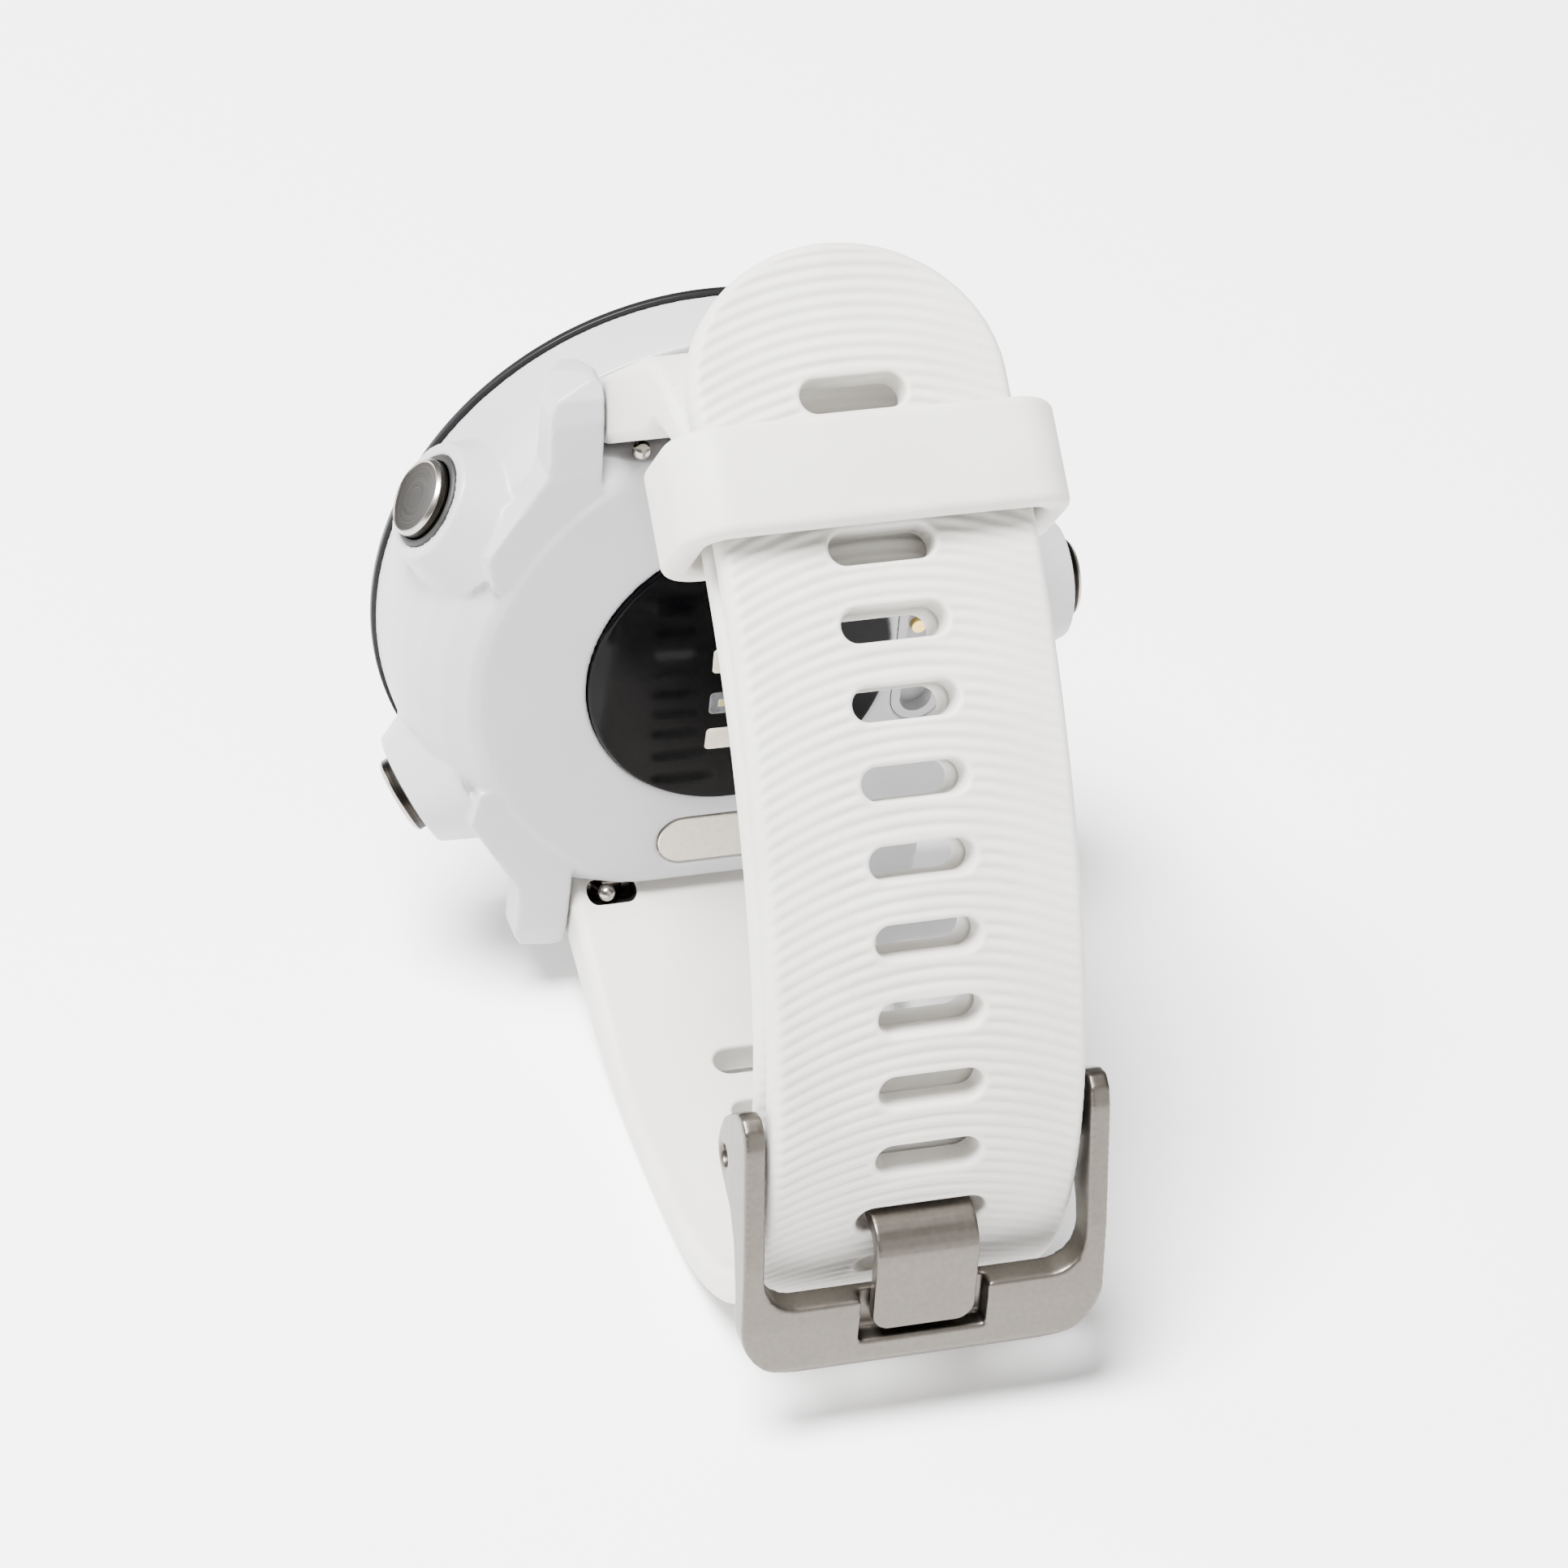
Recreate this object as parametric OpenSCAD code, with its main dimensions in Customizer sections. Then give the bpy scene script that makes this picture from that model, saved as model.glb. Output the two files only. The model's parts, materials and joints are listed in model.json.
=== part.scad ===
// Golf GPS watch, buckled, standing on the underside of its strap.
// Row frame: +Z points to 12 o'clock, the dial faces -Y and 3 o'clock is on the +X side.
// The shapes are drawn about the case: its axis is Y, its flat back lies at y = 0, the dial is
// at negative y and the wrist at positive y. One shift at the end moves the origin to the
// middle of the footprint.

/* [Case] */
// Diameter of the case body at its widest
case_d = 43; // [42.6:0.1:43.4]
// Distance from the flat back to the front edge of the case body
case_depth = 9.8; // [9.8:0.1:10.4]
// Thickness of the case back
back_wall = 1.2; // [1:0.1:1.3]
// Radius of the space inside the case
cavity_r = 18.8; // [18.7:0.05:18.9]
// Distance from the case axis to each lug's tip
lug_reach = 22.5; // [22.3:0.1:22.8]
// Diameter of the optical sensor's window
sensor_d = 20.46; // [20:0.02:21]
// Height of the sensor window's dome
sensor_dome = 1.0; // [0.6:0.1:1.2]

/* [Front] */
// Diameter of the black bezel ring
bezel_d = 43.5; // [43.2:0.1:43.8]
// Diameter of the front lens
lens_d = 36.8; // [36:0.1:36.8]
// Diameter of the visible display
display_d = 33; // [30:0.5:33.6]

/* [Buttons] */
// Diameter of each button's cap
button_d = 5.2; // [4.8:0.1:5.3]
// How far a button goes in
button_travel = 0.6; // [0.3:0.1:0.6]
// Distance from the case axis to the face of the two buttons on the right
button_reach = 24; // [24:0.1:24.4]
// Distance from the case axis to the face of the button on the left
left_button_reach = 24.8; // [24.4:0.1:25]

/* [Strap] */
// Width of the strap, which is also the gap between two lugs
strap_w = 20; // [19.6:0.1:20]
// Thickness of the strap away from the lugs
strap_t = 2.35; // [2.2:0.05:2.4]
// Distance between neighbouring slots of the long strap
slot_pitch = 4.8; // [4.7:0.05:4.9]
// Number of slots
slot_count = 20; // [14:1:20]
// Length of the keeper loop along the strap
keeper_l = 6.8; // [6:0.2:7]

/* [Buckle] */
// Overall width of the buckle
buckle_w = 23.4; // [23.2:0.1:24.2]
// Width of the tongue
tongue_w = 6.6; // [6:0.1:6.8]
// Thickness of the tongue
tongue_t = 1; // [0.8:0.05:1]

/* [Hidden] */
$fn = 96;
small_fn = 32;
eps = 0.02;

// Colours
case_white = [0.93, 0.93, 0.95];
silicone_white = [0.91, 0.90, 0.88];
gloss_black = [0.03, 0.03, 0.035];
steel = [0.68, 0.66, 0.63];
dark_steel = [0.20, 0.19, 0.18];
rubber_black = [0.06, 0.06, 0.06];
board_green = [0.05, 0.25, 0.15];
gold = [0.85, 0.65, 0.30];
beige = [0.80, 0.76, 0.66];

// Case
case_r = case_d / 2;
front_y = -case_depth;
rim_y = front_y - 1.65;             // front edge of the rim around the bezel
rim_r = 20.75;                      // inside radius of that rim
strap_gap = strap_w + 0.4;          // space between two lugs
chord_z = 16.8;                     // flat wall of the case behind each strap root
pocket_front_y = -6.3;              // front wall of the strap pocket
cavity_flat_z = 15.6;               // the cavity is flattened behind each strap pocket
cavity_step_y = -7.2;               // in front of this the cavity is fully round
bar_y = -3.2;                       // spring-bar axis
bar_z = 19;
bar_hole_r = 0.56;
root_r = 2.15;                      // rounded end of each strap
root_half_t = 2.1;                  // half the strap's thickness where it meets that end

// Buttons: [angle from 3 o'clock towards 12 o'clock, distance of the face from the axis]
button_y = -6;
button_places = [[30, button_reach], [-30, button_reach], [180, left_button_reach]];
button_r = button_d / 2;
cap_h = 2;
stem_r = 0.8;
stem_end = 17.6;
collar_r = 3.1;
pocket_below = cap_h + button_travel + 0.3; // from a button's face to its pocket's floor
boss_below = 0.95;                  // from a button's face back to the top of its boss
collar_below = 0.8;                 // and to the top of its collar
running_gap = 0.05;
seal_at = 19.6;
clip_at = 18.3;

// Ports and plates on the back
port_x = -12.5;
port_half = 4.1;
port_r = 1.7;
plate_z = -13.7;
plate_half = 2.8;
plate_r = 1.85;

// Inside, from the back to the front
sensor_board_y = -2.0;
battery_y = [-4.2, -2.3];
board_y = [-5.2, -4.4];
frame_y = [-9.7, -7.3];
screw_places = [[0, 14.2], [-11.4, -10.6], [11.4, -10.6]];

// Bends of the long strap's outer face: [distance from the tip, bend radius there].
// Curvature runs evenly from one place to the next, and 0 stands for a straight stretch.
long_bends = [[0, 0], [14, 0], [22, 51.1], [36, 75.8], [50, 36.5], [60, 24.6], [66, 16.3],
    [76, 15.4], [84, 27.1], [94, 112.6], [104, 29.4], [110, 0], [130, 0]];
long_start = [8.2, 37.8, -38];      // tip of the strap: y, z and heading in degrees
long_l = 116.9;                     // tip to the foot of the root circle
long_thickness = [[0, strap_t], [100, strap_t], [long_l, 2 * root_half_t]];
// The short strap, from its root circle to where it lies along the long one
short_start = [bar_y - 1.33, bar_z + 1.63, 39.3];
short_turns = [[11.3, 0, 39.3], [4.7, 6.5, -2], [6.4, 37, -12], [2.9, 6.5, -38]];
short_thickness = [[0, 2 * root_half_t], [10, 4.9], [13, 4.5], [20, 2.5], [24, strap_t],
    [90, strap_t]];
strap_gap_between = 0.3;
shared_from = 14.4;                 // stretch of the long strap that the short one lies under
shared_to = 58.6;
step = 0.8;

// Slots of the long strap
slot_first = 9.8;
slot_half = 3.33;
tongue_slot = 11;                   // the slot that the buckle's tongue goes through
slot_h = 2.1;
tip_r = strap_w / 2 + 0.4;

// Keeper
keeper_at = 15;
keeper_wall = 1.8;
keeper_r = 3;
keeper_clear = 0.35;
keeper_under = 6.3;                 // from the strap's outer face to the loop's inner floor

// Buckle
pivot = [38.2, -7.9];
eye_r = 1.65;
tongue_ring_r = 1.25;
bar_r = 0.7;
pivot_clear = 0.06;
arm_t = (buckle_w - strap_w) / 2 - 0.35;
bar_inner_z = -15.7;
bar_outer_z = -20.9;

// Middle of the footprint and the lowest point, in the drawing frame
lens_front_y = front_y - 2.5;
buckle_back_y = 44.7;
footprint = [(button_reach * cos(30) + button_r * sin(30) - left_button_reach) / 2,
    (lens_front_y + buckle_back_y) / 2];
lowest_z = -26.2;

// ---- Paths --------------------------------------------------------------------------------
function curvature(bends, s) =
    lookup(s, [for (b = bends) [b[0], b[1] == 0 ? 0 : 1 / b[1]]]);

// Points [y, z, heading, distance] along a bent line, one each step
function walk(bends, start, length) =
    let (n = ceil(length / step), ds = length / n, turn = 180 / PI)
    [for (i = 0, y = start[0], z = start[1], h = start[2]; i <= n;
          k = curvature(bends, (i + 0.5) * ds), m = h - k * ds * turn / 2,
          y = y + ds * cos(m), z = z + ds * sin(m), h = h - k * ds * turn, i = i + 1)
        [y, z, h, i * ds]];

function outward(p, d) = [p[0] - d * sin(p[2]), p[1] + d * cos(p[2])];

long_path = walk(long_bends, long_start, long_l);
function long_at(s) =
    let (i = min(len(long_path) - 2, floor(s / long_path[1][3])),
         f = s / long_path[1][3] - i)
    long_path[i] * (1 - f) + long_path[i + 1] * f;

// Joined arcs, each [length, radius, end heading], with radius 0 for a straight
function arc_end(start, arc) =
    arc[1] == 0
    ? [start[0] + arc[0] * cos(start[2]), start[1] + arc[0] * sin(start[2]), start[2]]
    : [start[0] + arc[1] * (sin(start[2]) - sin(arc[2])),
       start[1] + arc[1] * (cos(arc[2]) - cos(start[2])), arc[2]];
function arc_points(start, arc, n = 6) =
    [for (i = [0 : n - 1])
        let (part = arc[1] == 0 ? [arc[0] * i / n, 0, start[2]]
                : [0, arc[1], start[2] + (arc[2] - start[2]) * i / n])
        arc_end(start, part)];
short_joint_1 = arc_end(short_start, short_turns[0]);
short_joint_2 = arc_end(short_joint_1, short_turns[1]);
short_joint_3 = arc_end(short_joint_2, short_turns[2]);
short_own = concat(arc_points(short_start, short_turns[0]),
    arc_points(short_joint_1, short_turns[1]), arc_points(short_joint_2, short_turns[2]),
    arc_points(short_joint_3, short_turns[3]));
short_shared = [for (s = [shared_from : step : shared_to])
    let (p = long_at(s), q = outward(p, -strap_t - strap_gap_between)) [q[0], q[1], p[2]]];
short_path = concat(short_own, short_shared);
// Distance along the short strap of each of its points
short_s = [for (i = 0, s = 0; i < len(short_path);
    s = s + (i + 1 < len(short_path)
        ? norm([short_path[i + 1][0] - short_path[i][0],
                short_path[i + 1][1] - short_path[i][1]]) : 0), i = i + 1) s];

function ribbon(path, along, thickness) = concat(
    [for (p = path) [p[0], p[1]]],
    [for (i = [len(path) - 1 : -1 : 0]) outward(path[i], -lookup(along[i], thickness))]);

// ---- Helpers ------------------------------------------------------------------------------
// Outline drawn in X and Z, pushed through from y0 to y1
module slab(y0, y1) {
    translate([0, y1, 0]) rotate([90, 0, 0]) linear_extrude(y1 - y0) children();
}
// Outline drawn in Y and Z, pushed through from x0 to x1
module across(x0, x1) {
    translate([x0, 0, 0]) rotate([90, 0, 90]) linear_extrude(x1 - x0) children();
}
// Profile of [radius, y] turned about the case axis
module turned(points) {
    rotate([-90, 0, 0]) rotate_extrude() polygon(points);
}
// Flat ring about the case axis
module ring(r_in, r_out, y0, y1) {
    turned([[r_in, y0], [r_out, y0], [r_out, y1], [r_in, y1]]);
}
// Pill of half length h between its end centres, lying along the first axis
module pill(h, r) {
    square([2 * h, 2 * r], center = true);
    for (side = [-1, 1]) translate([side * h, 0]) circle(r, $fn = small_fn);
}
module rod_x(x0, x1, y, z, r, fn = small_fn) {
    translate([x0, y, z]) rotate([0, 90, 0]) cylinder(h = x1 - x0, r = r, $fn = fn);
}
module box(low, high) {
    translate(low) cube(high - low);
}
// A button's own axis, with its height measured from the case axis outwards
module radial(angle) {
    translate([0, button_y, 0]) rotate([0, -angle, 0]) rotate([0, 90, 0]) children();
}
// Shape moved to a place along the long strap: x across, y along, z outwards
module on_strap(s) {
    p = long_at(s);
    translate([0, p[0], p[1]]) rotate([p[2], 0, 0]) children();
}
// Upright outline with its two lower corners rounded
module rounded_outline(half_w, low, high, r) {
    translate([-half_w, low + r]) square([2 * half_w, high - low - r]);
    translate([-half_w + r, low]) square([2 * (half_w - r), high - low]);
    for (side = [-1, 1]) translate([side * (half_w - r), low + r]) circle(r);
}

// ---- Case ---------------------------------------------------------------------------------
module case_shell() {
    turned([[0, 0], [17.4, 0], [18.1, -0.2], [19.6, -1.5], [20.7, -3], [21.3, -5], [case_r, -7],
        [case_r, rim_y + 0.15], [case_r - 0.15, rim_y], [0, rim_y]]);
}
module lug() {
    inner = strap_gap / 2;
    intersection() {
        slab(front_y, 0) polygon([[inner, 12], [inner, lug_reach - 0.4],
            [inner + 0.4, lug_reach], [inner + 0.9, lug_reach], [13.3, 21.6],
            [13.8, 20.6], [13.85, 16.5], [17.5, 10.5], [17, 8], [12, 8]]);
        across(inner, 18) polygon([[-0.05, 8], [-0.15, 16], [-0.5, 20], [-0.9, 21.5],
            [-1.7, lug_reach], [-2.8, lug_reach], [-7.2, 20.5], [-9.4, 18.6], [-9.4, 8]]);
        // The outer side runs in towards the front until it meets the round wall
        translate([0, 0, 8]) linear_extrude(20)
            polygon([[9, 0.2], [18, 0.2], [17.8, -1.2], [14.1, -2.4], [10.6, -9], [9, -9]]);
    }
}
module case_body() {
    color(case_white) difference() {
        union() {
            difference() {
                case_shell();
                for (side = [-1, 1])
                    box([-strap_gap / 2, pocket_front_y, side > 0 ? chord_z : -26],
                        [strap_gap / 2, 1, side > 0 ? 26 : -chord_z]);
            }
            for (sx = [0, 1], sz = [0, 1]) mirror([sx, 0, 0]) mirror([0, 0, sz]) lug();
            for (b = button_places) radial(b[0])
                translate([0, 0, 19.4]) cylinder(h = b[1] - boss_below - 19.4, r1 = 5.6, r2 = 3.9);
            for (p = screw_places) translate([p[0], -1, p[1]])
                rotate([90, 0, 0]) cylinder(h = -board_y[1] - 1, r = 1.3, $fn = small_fn);
        }
        difference() {
            turned([[0, -back_wall], [cavity_r, -back_wall], [cavity_r, front_y - 1],
                [0, front_y - 1]]);
            for (side = [-1, 1])
                box([-20, cavity_step_y, side > 0 ? cavity_flat_z : -20],
                    [20, 0, side > 0 ? 20 : -cavity_flat_z]);
            for (p = screw_places) translate([p[0], 0, p[1]])
                rotate([90, 0, 0]) cylinder(h = -board_y[1], r = 1.3, $fn = small_fn);
        }
        // Seat of the bezel, and nothing in front of the rim
        ring(0, rim_r, front_y - 4, front_y);
        ring(0, 30, front_y - 4, rim_y);
        // Screw holes, sensor opening, charging port, plate recess
        for (p = screw_places) translate([p[0], -2.6, p[1]])
            rotate([90, 0, 0]) cylinder(h = 3, r = 0.6, $fn = small_fn);
        ring(0, sensor_d / 2 + running_gap, -back_wall - 1, 1);
        slab(-back_wall - 1, 1) translate([port_x, 0]) rotate(90)
            pill(port_half, port_r + running_gap);
        slab(-0.4, 1) translate([0, plate_z]) pill(plate_half, plate_r + eps);
        // Spring-bar holes in the lugs
        for (side = [-1, 1]) {
            rod_x(strap_gap / 2 - 1, strap_gap / 2 + 1.3, bar_y, side * bar_z, bar_hole_r);
            rod_x(-strap_gap / 2 - 1.3, -strap_gap / 2 + 1, bar_y, side * bar_z, bar_hole_r);
        }
        // Button holes
        for (b = button_places) radial(b[0]) {
            translate([0, 0, b[1] - pocket_below]) cylinder(h = 5, r = collar_r, $fn = 64);
            translate([0, 0, 17]) cylinder(h = 6, r = stem_r + running_gap, $fn = small_fn);
        }
    }
}
module bezel_ring() {
    out = bezel_d / 2;
    seat = lens_d / 2 + 0.1;
    color(gloss_black) turned([[seat - 1.5, front_y], [rim_r - 0.05, front_y],
        [rim_r - 0.05, rim_y], [out, rim_y], [out, rim_y - 0.45], [out - 0.4, rim_y - 0.7],
        [out - 1.2, rim_y - 0.75], [seat, rim_y - 0.75], [seat, front_y - 0.6],
        [seat - 1.5, front_y - 0.6]]);
}
module lens_gasket() {
    color(rubber_black) ring(17.1, 18.2, front_y - 0.9, front_y - 0.6);
}
module front_lens() {
    r = lens_d / 2;
    color([0.2, 0.2, 0.22, 0.6]) turned([[0, front_y - 2.5], [r - 0.3, front_y - 2.5],
        [r, front_y - 2.2], [r, front_y - 0.9], [0, front_y - 0.9]]);
}
module display_panel() {
    color([0.08, 0.10, 0.12]) ring(0, display_d / 2, -9.7, -8.6);
}
module display_frame() {
    color(rubber_black) difference() {
        ring(0, cavity_r - 0.1, frame_y[0], frame_y[1]);
        ring(0, display_d / 2 + 0.1, frame_y[0] - 1, -8.6);
        ring(0, 14.6, -8.1, 0);
    }
}

// ---- Inside -------------------------------------------------------------------------------
module main_board() {
    color(board_green) difference() {
        intersection() {
            ring(0, 16.2, board_y[0], board_y[1]);
            box([-17, -6, -15.3], [17, -4, 15.3]);
        }
        for (p = screw_places) translate([p[0], 0, p[1]])
            rotate([90, 0, 0]) cylinder(h = 8, r = 0.7, $fn = small_fn);
    }
}
module board_shields() {
    color(steel) {
        box([-9, -6.2, -7.5], [0, board_y[0], 3.5]);
        box([1.5, -6, -6.5], [8.5, board_y[0], -0.5]);
        box([2, -6.1, 1], [9, board_y[0], 7.5]);
    }
}
module board_screws() {
    color(steel) for (p = screw_places) translate([p[0], 0, p[1]]) rotate([90, 0, 0]) {
        translate([0, 0, 2.8]) cylinder(h = -board_y[0] - 2.8, r = 0.58, $fn = small_fn);
        translate([0, 0, -board_y[0]]) difference() {
            cylinder(h = 0.6, r = 1.1, $fn = small_fn);
            translate([0, 0, 0.3]) cylinder(h = 1, r = 0.45, $fn = 6);
        }
    }
}
module battery() {
    color([0.75, 0.76, 0.78]) intersection() {
        box([-9.6, battery_y[0], -11.5], [7, battery_y[1], 11.5]);
        ring(0, 14.2, -6, 0);
    }
}
module gps_antenna() {
    color(gold) rotate([-90, 0, 0]) rotate([0, 0, 230])
        rotate_extrude(angle = 30) translate([14, -6.6]) square([1.4, 1.4]);
    color(gold) rotate([-90, 0, 0]) rotate([0, 0, 285])
        rotate_extrude(angle = 30) translate([14, -6.6]) square([1.4, 1.4]);
}
module vibration_motor() {
    color(steel) translate([14.4, -back_wall, 0]) rotate([90, 0, 0])
        cylinder(h = 2.6, r = 3.2, $fn = 64);
}
function dome_r() = (pow(sensor_d / 2, 2) + pow(sensor_dome, 2)) / (2 * sensor_dome);
module sensor_dome_solid() {
    r = sensor_d / 2;
    intersection() {
        ring(0, r, -back_wall, 3);
        translate([0, 0.3 + sensor_dome - dome_r(), 0]) rotate([-90, 0, 0])
            sphere(dome_r(), $fn = 360);
    }
}
// Rows of the sensor, from 12 o'clock down: [centre, half height]
window_rows = [[4.5, 0.9], [1.65, 0.95], [-1.7, 0.88], [-4.68, 0.9]];
window_half = 2.3;
module sensor_lens() {
    color(gloss_black) difference() {
        sensor_dome_solid();
        ring(0, 8.6, -3, -0.3);
        for (row = window_rows)
            box([-window_half, 0.4, row[0] - row[1]], [window_half, 3, row[0] + row[1]]);
    }
}
module sensor_windows() {
    color(beige) for (row = window_rows) intersection() {
        sensor_dome_solid();
        box([-window_half + eps, 0.4 + eps, row[0] - row[1] + eps],
            [window_half - eps, 3, row[0] + row[1] - eps]);
    }
}
module sensor_leds() {
    color([0.3, 0.6, 0.3]) for (row = window_rows, x = [-1.3, 0, 1.3])
        box([x - 0.4, -back_wall, row[0] - 0.4], [x + 0.4, -0.6, row[0] + 0.4]);
}
module sensor_board() {
    color(board_green) ring(0, 9.4, sensor_board_y, -back_wall);
}
module sensor_gasket() {
    color(rubber_black) ring(9.6, 10.7, -back_wall - 0.4, -back_wall);
}
module charge_port() {
    color(case_white) difference() {
        slab(-2.1, -0.15) translate([port_x, 0]) rotate(90) pill(port_half, port_r);
        slab(-1.3, 1) translate([port_x, 0]) rotate(90) pill(port_half, port_r - 0.6);
        for (i = [-1.5 : 1 : 1.5]) translate([port_x, 0, i * 2.1]) rotate([90, 0, 0])
            cylinder(h = 4, r = 0.5, $fn = small_fn);
    }
}
module charge_contacts() {
    color(gold) for (i = [-1.5 : 1 : 1.5]) translate([port_x, -0.9, i * 2.1])
        rotate([90, 0, 0]) cylinder(h = 1.4, r = 0.48, $fn = small_fn);
}
module id_plate() {
    color(beige) slab(-0.4 + eps, -0.02) translate([0, plate_z]) pill(plate_half, plate_r);
}

// ---- Buttons ------------------------------------------------------------------------------
module button(place) {
    color(dark_steel) radial(place[0]) difference() {
        union() {
            translate([0, 0, place[1] - cap_h]) cylinder(h = cap_h - 0.35, r = button_r);
            translate([0, 0, place[1] - 0.35])
                cylinder(h = 0.35, r1 = button_r, r2 = button_r - 0.35);
            translate([0, 0, stem_end]) cylinder(h = place[1] - 0.5 - stem_end, r = stem_r,
                $fn = small_fn);
        }
        for (groove = [[seal_at, 0.55, 0.55], [clip_at, 0.4, 0.5]])
            translate([0, 0, groove[0]]) difference() {
                cylinder(h = groove[1], r = 1, $fn = small_fn);
                translate([0, 0, -1]) cylinder(h = 3, r = groove[2], $fn = small_fn);
            }
    }
}
module stem_ring(place, from, thickness, r_in, r_out) {
    radial(place[0]) translate([0, 0, from]) difference() {
        cylinder(h = thickness, r = r_out, $fn = small_fn);
        translate([0, 0, -1]) cylinder(h = thickness + 2, r = r_in, $fn = small_fn);
    }
}
module seal(place) {
    color(rubber_black) stem_ring(place, seal_at + 0.02, 0.51, 0.56, stem_r + 0.03);
}
module clip(place) {
    color(steel) stem_ring(place, clip_at + 0.04, 0.32, 0.51, 1.1);
}
module button_collars() {
    color(rubber_black) for (b = button_places) radial(b[0])
        translate([0, 0, b[1] - pocket_below]) difference() {
            cylinder(h = pocket_below - collar_below, r = collar_r, $fn = 64);
            translate([0, 0, 0.25]) cylinder(h = 3, r = button_r + running_gap);
            translate([0, 0, -1]) cylinder(h = 3, r = stem_r + running_gap, $fn = small_fn);
        }
}
module dome_switches() {
    color(steel) for (b = button_places) radial(b[0]) {
        translate([-1.5, -1.2, 14.6]) cube([3, 2, 1.9]);
        translate([0, 0, 16.4]) cylinder(h = 0.5, r = 0.6, $fn = small_fn);
    }
}

// ---- Straps -------------------------------------------------------------------------------
module root_end(side) {
    rod_x(-strap_w / 2, strap_w / 2, bar_y, side * bar_z, root_r, $fn);
}
// Bore for the spring bar, and the recess around the release knob
module root_cuts(side) {
    rod_x(-strap_w, strap_w, bar_y, side * bar_z, 0.8);
    translate([7.1, bar_y, side * bar_z]) rotate([side > 0 ? -26 : 26, 0, 0])
        box([-1.5, 0, -1.1], [1.5, 6, 1.1]);
}
// Slots cut square to the long strap's outer face, from depth low to depth high
module slots(first, last, low, high, half = slot_half) {
    for (i = [first : last]) on_strap(slot_first + i * slot_pitch)
        translate([0, 0, low]) linear_extrude(high - low)
            pill(half - slot_h / 2, slot_h / 2);
}
module strap_long() {
    color(silicone_white) difference() {
        union() {
            across(-strap_w / 2, strap_w / 2)
                polygon(ribbon(long_path, [for (p = long_path) p[3]], long_thickness));
            root_end(-1);
        }
        slots(0, tongue_slot - 1, -4, 1);
        slots(tongue_slot, tongue_slot, -4, 1, tongue_w / 2 + 0.8);
        slots(tongue_slot + 1, slot_count - 1, -4, 1);
        root_cuts(-1);
        // Rounded tip
        on_strap(0) translate([0, tip_r, -4]) linear_extrude(6) difference() {
            translate([-strap_w, -tip_r - 1]) square([2 * strap_w, tip_r - 1.4]);
            circle(tip_r);
        }
    }
}
module strap_short() {
    color(silicone_white) difference() {
        union() {
            across(-strap_w / 2, strap_w / 2)
                polygon(ribbon(short_path, short_s, short_thickness));
            root_end(1);
            rod_x(-strap_w / 2, strap_w / 2, pivot[0], pivot[1], eye_r, $fn);
        }
        rod_x(-strap_w, strap_w, pivot[0], pivot[1], bar_r + pivot_clear);
        root_cuts(1);
        // Slots that line up with those of the long strap
        slots(3, tongue_slot - 2, -7.5, -2);
        // Room for the tongue's ring, open below for its shank
        rod_x(-tongue_w / 2 - 0.4, tongue_w / 2 + 0.4, pivot[0], pivot[1],
            tongue_ring_r + 0.1, $fn);
        translate([0, pivot[0], pivot[1]]) across(-tongue_w / 2 - 0.4, tongue_w / 2 + 0.4)
            polygon([[0, 0], [2.1, -2.1], [2.1, -3.6], [-2.4, -3.6], [-2.4, -0.3]]);
    }
}
module keeper_loop() {
    out = strap_w / 2 + keeper_clear + keeper_wall + 0.2;
    inner = strap_w / 2 + keeper_clear;
    top = keeper_clear + keeper_wall;
    color(silicone_white) on_strap(keeper_at) translate([0, keeper_l / 2, 0])
        rotate([90, 0, 0]) linear_extrude(keeper_l) difference() {
            rounded_box(out, -keeper_under - keeper_wall, top, keeper_r);
            rounded_box(inner, -keeper_under, keeper_clear, 0.6);
        }
}
module rounded_box(half_w, low, high, r) {
    translate([-half_w, low + r]) square([2 * half_w, high - low - 2 * r]);
    translate([-half_w + r, low]) square([2 * (half_w - r), high - low]);
    for (side = [-1, 1], y = [low + r, high - r]) translate([side * (half_w - r), y])
        circle(r, $fn = 48);
}

// ---- Spring bars --------------------------------------------------------------------------
bar_half = 8.9;
pin_r = 0.5;
knob_x = 7.7;
release_travel = 1.2;
module spring_bar(side) {
    color(steel) difference() {
        rod_x(-bar_half, bar_half, bar_y, side * bar_z, 0.75);
        rod_x(3.4, bar_half + 1, bar_y, side * bar_z, pin_r + running_gap);
        rod_x(-bar_half - 1, -6, bar_y, side * bar_z, pin_r + 0.01);
        translate([0, bar_y, side * bar_z]) rotate([side > 0 ? -26 : 26, 0, 0])
            box([knob_x - release_travel - 0.45, 0, -0.42], [knob_x + 0.45, 2, 0.42]);
    }
}
module release_pin(side) {
    color(steel) {
        rod_x(5.6, strap_gap / 2 + 0.8, bar_y, side * bar_z, pin_r);
        translate([knob_x, bar_y, side * bar_z]) rotate([side > 0 ? -116 : -64, 0, 0]) {
            cylinder(h = 3, r = 0.34, $fn = small_fn);
            translate([0, 0, 3.1]) sphere(0.62, $fn = small_fn);
        }
    }
}
module bar_pins() {
    color(steel) for (side = [-1, 1])
        rod_x(-strap_gap / 2 - 0.8, -6.05, bar_y, side * bar_z, pin_r);
}

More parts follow.
